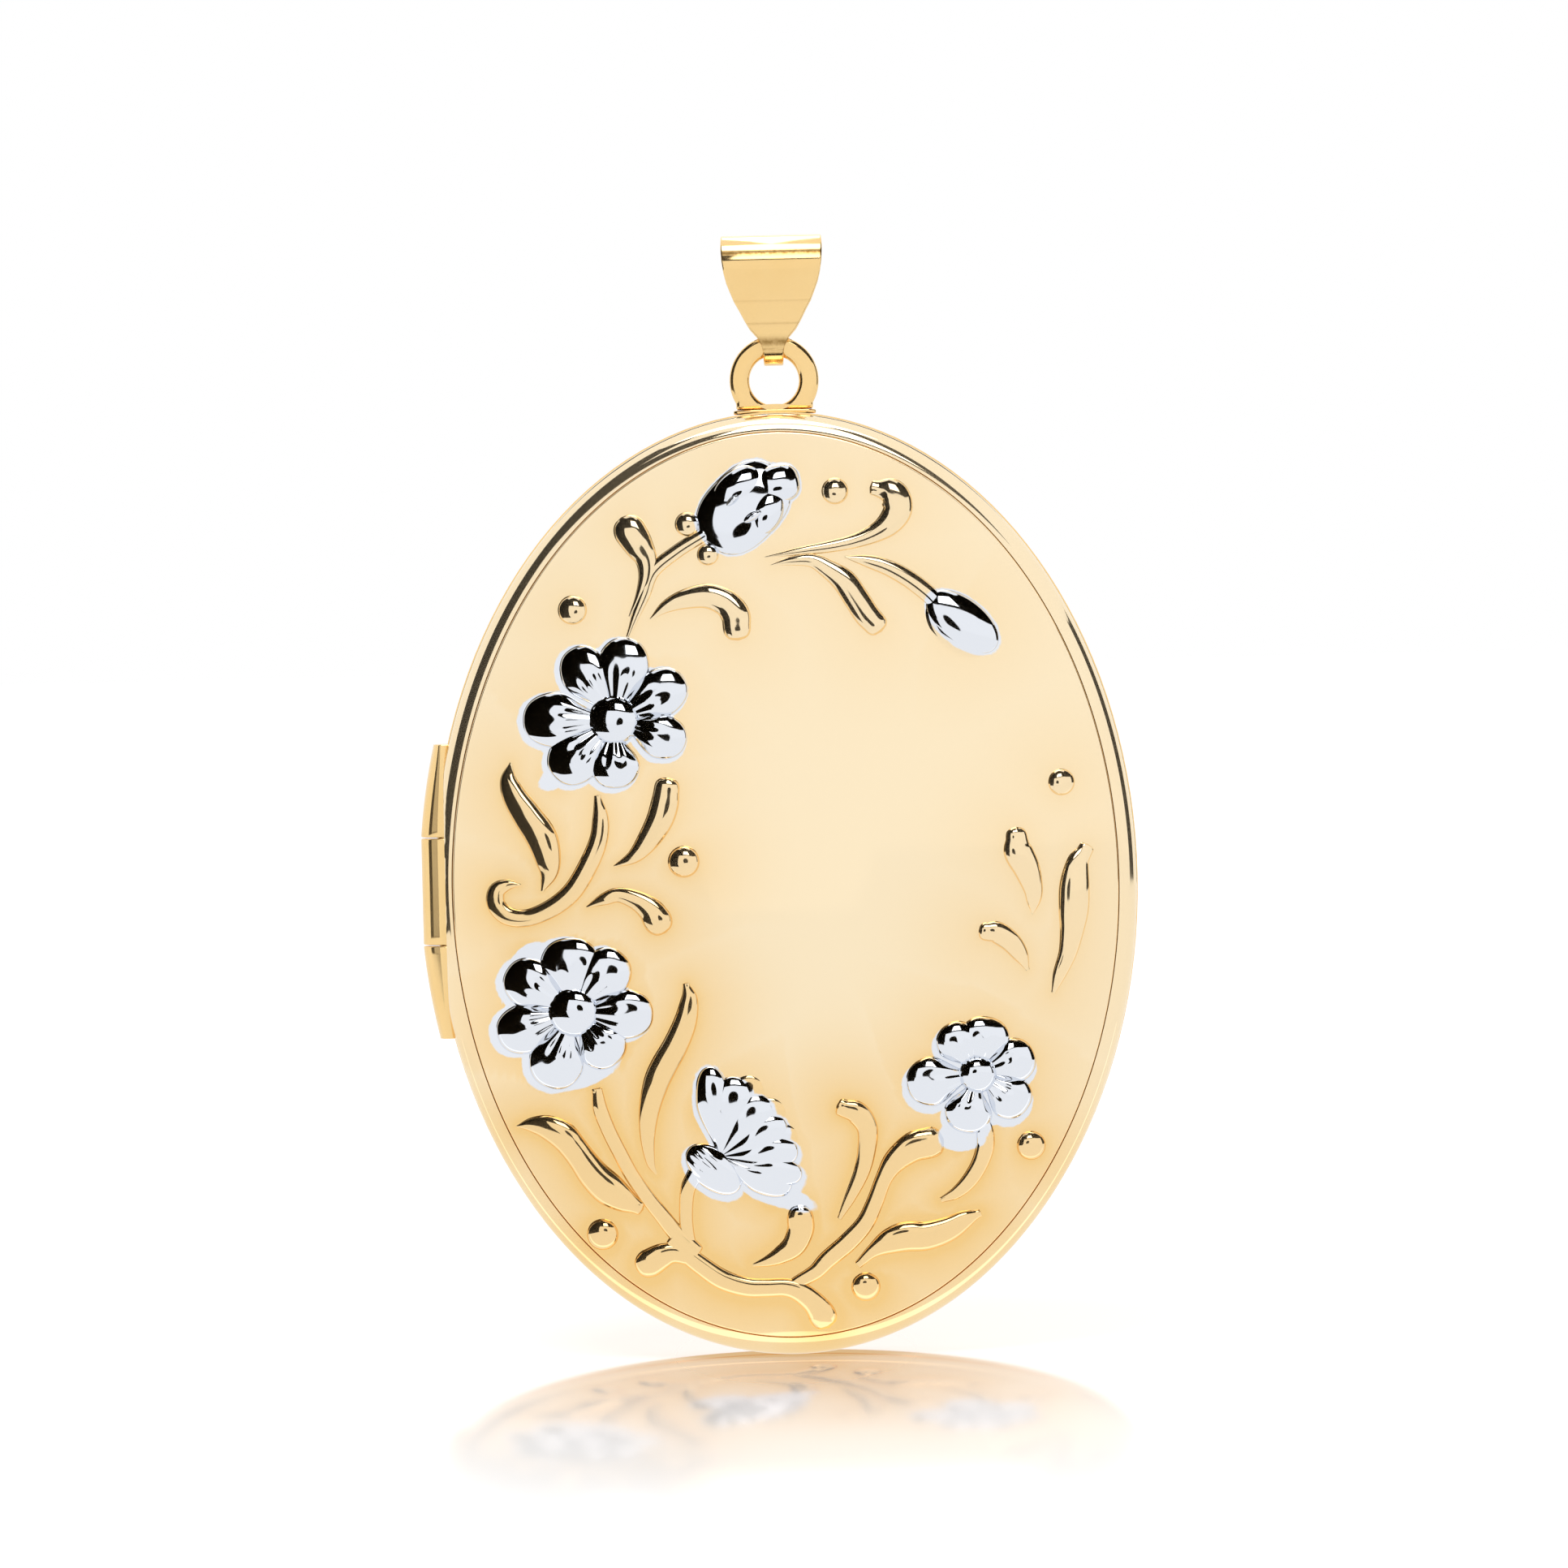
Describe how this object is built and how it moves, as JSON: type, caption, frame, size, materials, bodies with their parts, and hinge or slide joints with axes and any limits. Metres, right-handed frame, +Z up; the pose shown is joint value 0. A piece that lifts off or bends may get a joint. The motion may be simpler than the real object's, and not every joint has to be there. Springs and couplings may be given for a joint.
{
  "type": "locket",
  "caption": "Oval hinged locket with a flower-embossed two-tone front, a snap edge, picture frames inside and a folded bail on a ring.",
  "frame": {"origin": "centre of the bail's eye, where the chain passes through", "axes": "+Z up along the oval's long axis, -Y towards the viewer of the embossed front, hinge on the -X side"},
  "size_m": [0.0303, 0.0076, 0.0474],
  "materials": {
    "polished_gold": "polished, gold plated",
    "two_tone_gold": "polished yellow gold with white-metal plated flowers",
    "brushed_gold": "satin, gold plated",
    "pin_wire": "drawn wire",
    "clear_window": "clear acetate",
    "picture_card": "plain cream card"
  },
  "bodies": {
    "bail": {"bail": "polished_gold"},
    "back_half": {"bail_ring": "polished_gold", "ring_foot": "polished_gold", "back_cover": "polished_gold", "back_rim": "polished_gold", "back_liner": "brushed_gold", "snap_band": "brushed_gold", "back_hinge_bearer": "polished_gold", "hinge_knuckle_upper": "polished_gold", "hinge_knuckle_lower": "polished_gold", "hinge_pin": "pin_wire", "back_photo_card": "picture_card", "back_window": "clear_window", "back_photo_frame": "brushed_gold"},
    "front_half": {"front_cover": "two_tone_gold", "front_rim": "polished_gold", "front_liner": "brushed_gold", "front_hinge_bearer": "polished_gold", "hinge_knuckle_middle": "polished_gold", "front_photo_card": "picture_card", "front_window": "clear_window", "front_photo_frame": "brushed_gold"}
  },
  "joints": [
    {"name": "bail_swing", "type": "hinge", "parent": "bail", "child": "back_half", "pos_m": [0, 0, -0.00333], "axis": [1, 0, 0], "range_deg": [-90, 90]},
    {"name": "cover_hinge", "type": "hinge", "parent": "back_half", "child": "front_half", "pos_m": [-0.01442, -0.0005, -0.02614], "axis": [0, 0, -1], "range_deg": [0, 175]}
  ]
}
